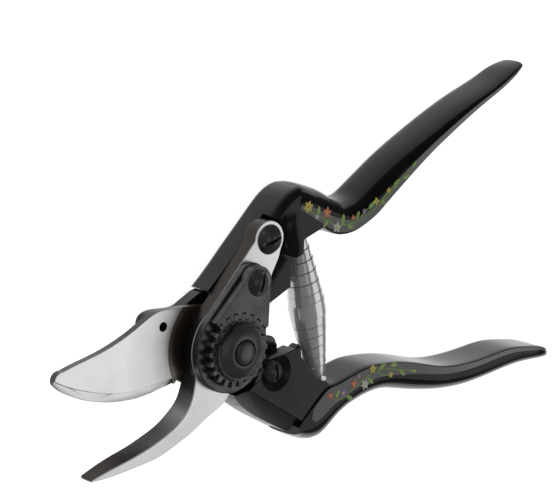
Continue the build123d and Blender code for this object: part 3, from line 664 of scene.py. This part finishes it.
def toothRadius(angle):
    # between root and tip by 0.5 + 0.5 tanh(steep (cos(teeth times angle) + shift)) / tanh(steep)
    steep = nutSizes["steep"]
    wave = np.cos(angle * nutSizes["teeth"]) + nutSizes["shift"]
    share = 0.5 + 0.5 * np.tanh(steep * wave) / math.tanh(steep)
    return nutSizes["root"] + (nutSizes["tip"] - nutSizes["root"]) * np.clip(share, 0, 1)


def nutRings():
    # toothed rings up the rim, then round rings up the cone; a flat stands at its distance over
    # the cosine of the angle from it
    low, high = levels("adjusting_nut")
    rim = levels("toothed_segment")[1]
    count = nutSizes["teeth"] * nutSizes["perTooth"]
    angle = np.arange(count) * tau / count
    tooth = toothRadius(angle)
    inset = nutSizes["round"]
    steps = [
        (tooth - inset - 0.15, low), (tooth - 0.1, low + 0.12), (tooth, low + inset),
        (tooth, rim - inset), (tooth - 0.09, rim - 0.1), (tooth - inset, rim),
        (np.full(count, 9.25), rim + 0.02), (np.full(count, 9.0), rim - 0.12),
        (np.full(count, 8.85), rim + 0.1),
    ]
    flat = nutSizes["flat"] / np.maximum(np.abs(np.cos(angle - nutSizes["flatTurn"])), 1e-3)
    for radius, rise in nutSizes["cone"]:
        steps.append((np.minimum(radius, flat), rim + min(rise, high - rim)))
    return np.stack([np.stack([r * np.cos(angle), r * np.sin(angle), np.full(count, z)], -1)
                     for r, z in steps])


settle(meshPiece("adjustingNut", *closedTube(nutRings()), "gunmetal", 30), "hook_side",
       "gunmetal", "adjusting_nut")
boltTop = levels("centre_bolt")[1]
boltSteps = 96
# radius, height: the head from its middle outwards, the shank and the domed end
boltProfile = [
    (0.3, 0.35), (3.0, 0.35), (3.2, 0.0), (8.7, 0.0), (9.1, 0.15), (9.5, 0.6), (9.5, 2.2),
    (9.3, 2.4), (4.0, 2.4), (4.0, boltTop - 1.5), (3.7, boltTop - 1.4), (3.55, boltTop - 1.25),
    (3.5, boltTop - 0.85), (3.42, boltTop - 0.62), (3.2, boltTop - 0.42), (2.7, boltTop - 0.25),
    (1.9, boltTop - 0.11), (1.0, boltTop - 0.03), (0.3, boltTop),
]
settle(meshPiece("centreBolt", *lathe(boltProfile, boltSteps), "gunmetal", 40), "hook_side",
       "gunmetal", "centre_bolt")

springSizes = {
    "turnsEach": 6.5, "bandRadius": 6.0, "endRadius": 2.7, "ribbon": 0.4, "coilWidth": 4.0,
    "perTurn": 40, "swellPower": 1.25, "bandShare": 0.1, "plainWidth": 0.85, "bandWidth": 0.5,
    "lean": 0.1, "leanRamp": 6,
    "top": (40.6, 21.6), "foot": (38.0, -29.4),
    # across the ribbon's width and thickness, in halves of each
    "section": [(-1, -0.6), (-0.97, -1), (0, -1), (0.97, -1), (1, -0.6), (1, 0.6), (0.97, 1),
                (0, 1), (-0.97, 1), (-1, 0.6)],
}


def springRings():
    # a flat ribbon wound from the foot to the top. With s from -1 to 1 along the axis, its radius
    # swells by 1 - |s| to a power, its width is the coil's times
    # (plain + band exp(-(s / band share) squared)), and it leans towards the nearer end
    centreZ = levels("upper_handle")[1] / 2
    top = np.array([*springSizes["top"], centreZ])
    foot = np.array([*springSizes["foot"], centreZ])
    length = np.linalg.norm(top - foot)
    axis = (top - foot) / length
    side = np.array([0, 0, 1.0])
    across = np.cross(axis, side)
    turns = springSizes["turnsEach"] * 2
    count = int(turns * springSizes["perTurn"])
    s = np.linspace(-1, 1, count)
    swell = 1 - np.abs(s) ** springSizes["swellPower"]
    endRadius = springSizes["endRadius"]
    radius = endRadius + (springSizes["bandRadius"] - endRadius) * swell
    bell = springSizes["bandWidth"] * np.exp(-(s / springSizes["bandShare"]) ** 2)
    width = springSizes["coilWidth"] * (springSizes["plainWidth"] + bell)
    along = (s + 1) / 2 * (length - springSizes["coilWidth"]) + springSizes["coilWidth"] / 2
    angle = s * turns * math.pi
    lean = -np.sign(s) * springSizes["lean"] * np.clip(np.abs(s) * springSizes["leanRamp"], 0, 1)
    halfThick = springSizes["ribbon"] / 2
    corners = np.array(springSizes["section"])
    u = corners[:, 0] * width[:, None] / 2
    r = radius[:, None] + corners[:, 1] * halfThick + u * lean[:, None]
    out = np.cos(angle)[:, None, None] * side + np.sin(angle)[:, None, None] * across
    return foot + (along[:, None] + u)[..., None] * axis + r[..., None] * out, foot, top


springPoints, springFoot, springTop = springRings()
coilSpring = meshPiece("coilSpring", *closedTube(springPoints), "chrome", 40)
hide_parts("spring")
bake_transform(coilSpring)
print("nut, bolt and spring made")

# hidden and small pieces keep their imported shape
packedFinishes = {
    "slide_washer": "plainSteel", "upper_stud": "plainSteel", "lower_stud": "plainSteel",
    "pivot_bush": "bronze", "front_dowel": "plainSteel", "rear_dowel": "plainSteel",
    "catch_washer": "plainSteel",
}
for name, material in packedFinishes.items():
    nodes[name].data.materials.clear()
    nodes[name].data.materials.append(paint[material])

# metres; colours and strengths of the floor and the world
stageLook = {"floorSize": 3.0, "floorZ": -0.0006, "floorColour": (0.9, 0.9, 0.9, 1),
             "floorRough": 0.9, "floorGlow": 0.9, "skyGlow": 0.16}
bpy.ops.mesh.primitive_plane_add(size=stageLook["floorSize"], location=(0, 0, stageLook["floorZ"]))
floor = bpy.context.object
floor.name = "floor"
floorPaint, tree, shader, coords = blankMaterial("floorPaint")
shader.inputs["Base Color"].default_value = stageLook["floorColour"]
shader.inputs["Roughness"].default_value = stageLook["floorRough"]
shader.inputs["Emission Color"].default_value = (1, 1, 1, 1)
shader.inputs["Emission Strength"].default_value = stageLook["floorGlow"]
floor.data.materials.append(floorPaint)

world = bpy.data.worlds.new("studio")
bpy.context.scene.world = world
world.use_nodes = True
sky = world.node_tree.nodes["Background"]
sky.inputs["Color"].default_value = (1, 1, 1, 1)
sky.inputs["Strength"].default_value = stageLook["skyGlow"]
print("floor and sky made")

lights = {
    # direction from the shears, distance, width, height, power in watts
    "key": ((0.578, -0.361, 0.731), 1.1, 0.8, 0.8, 2.3),
    "rim": ((-0.35, 0.9, 0.25), 1.0, 0.25, 0.9, 0.5),
    "top": ((-0.2, 0.1, 1.0), 1.2, 0.5, 0.5, 0.6),
}
aim = Vector((0.045, -0.01, 0.008))
for name, (direction, distance, width, height, power) in lights.items():
    lamp = bpy.data.lights.new(name, "AREA")
    lamp.shape = "RECTANGLE"
    lamp.size = width
    lamp.size_y = height
    lamp.energy = power
    holder = bpy.data.objects.new(name, lamp)
    bpy.context.scene.collection.objects.link(holder)
    away = Vector(direction).normalized()
    holder.location = aim + away * distance
    holder.rotation_euler = away.to_track_quat("Z", "Y").to_euler()
print("lights placed")

cameraPlace = {
    "location": (-0.38227, 0.27913, 0.53189),
    "right": (0.73000, -0.17088, 0.66174),
    "up": (0.36413, 0.91662, -0.16499),
    "lens": 148.476, "sensor": 36, "near": 0.05, "far": 10,
}
cameraData = bpy.data.cameras.new("camera")
cameraData.lens = cameraPlace["lens"]
cameraData.sensor_width = cameraPlace["sensor"]
cameraData.clip_start = cameraPlace["near"]
cameraData.clip_end = cameraPlace["far"]
camera = bpy.data.objects.new("camera", cameraData)
bpy.context.scene.collection.objects.link(camera)
right = Vector(cameraPlace["right"])
up = Vector(cameraPlace["up"])
turn = Matrix((right, up, right.cross(up))).transposed()
camera.matrix_world = Matrix.Translation(cameraPlace["location"]) @ turn.to_4x4()
bpy.context.scene.camera = camera
bpy.context.scene.view_settings.view_transform = "Standard"
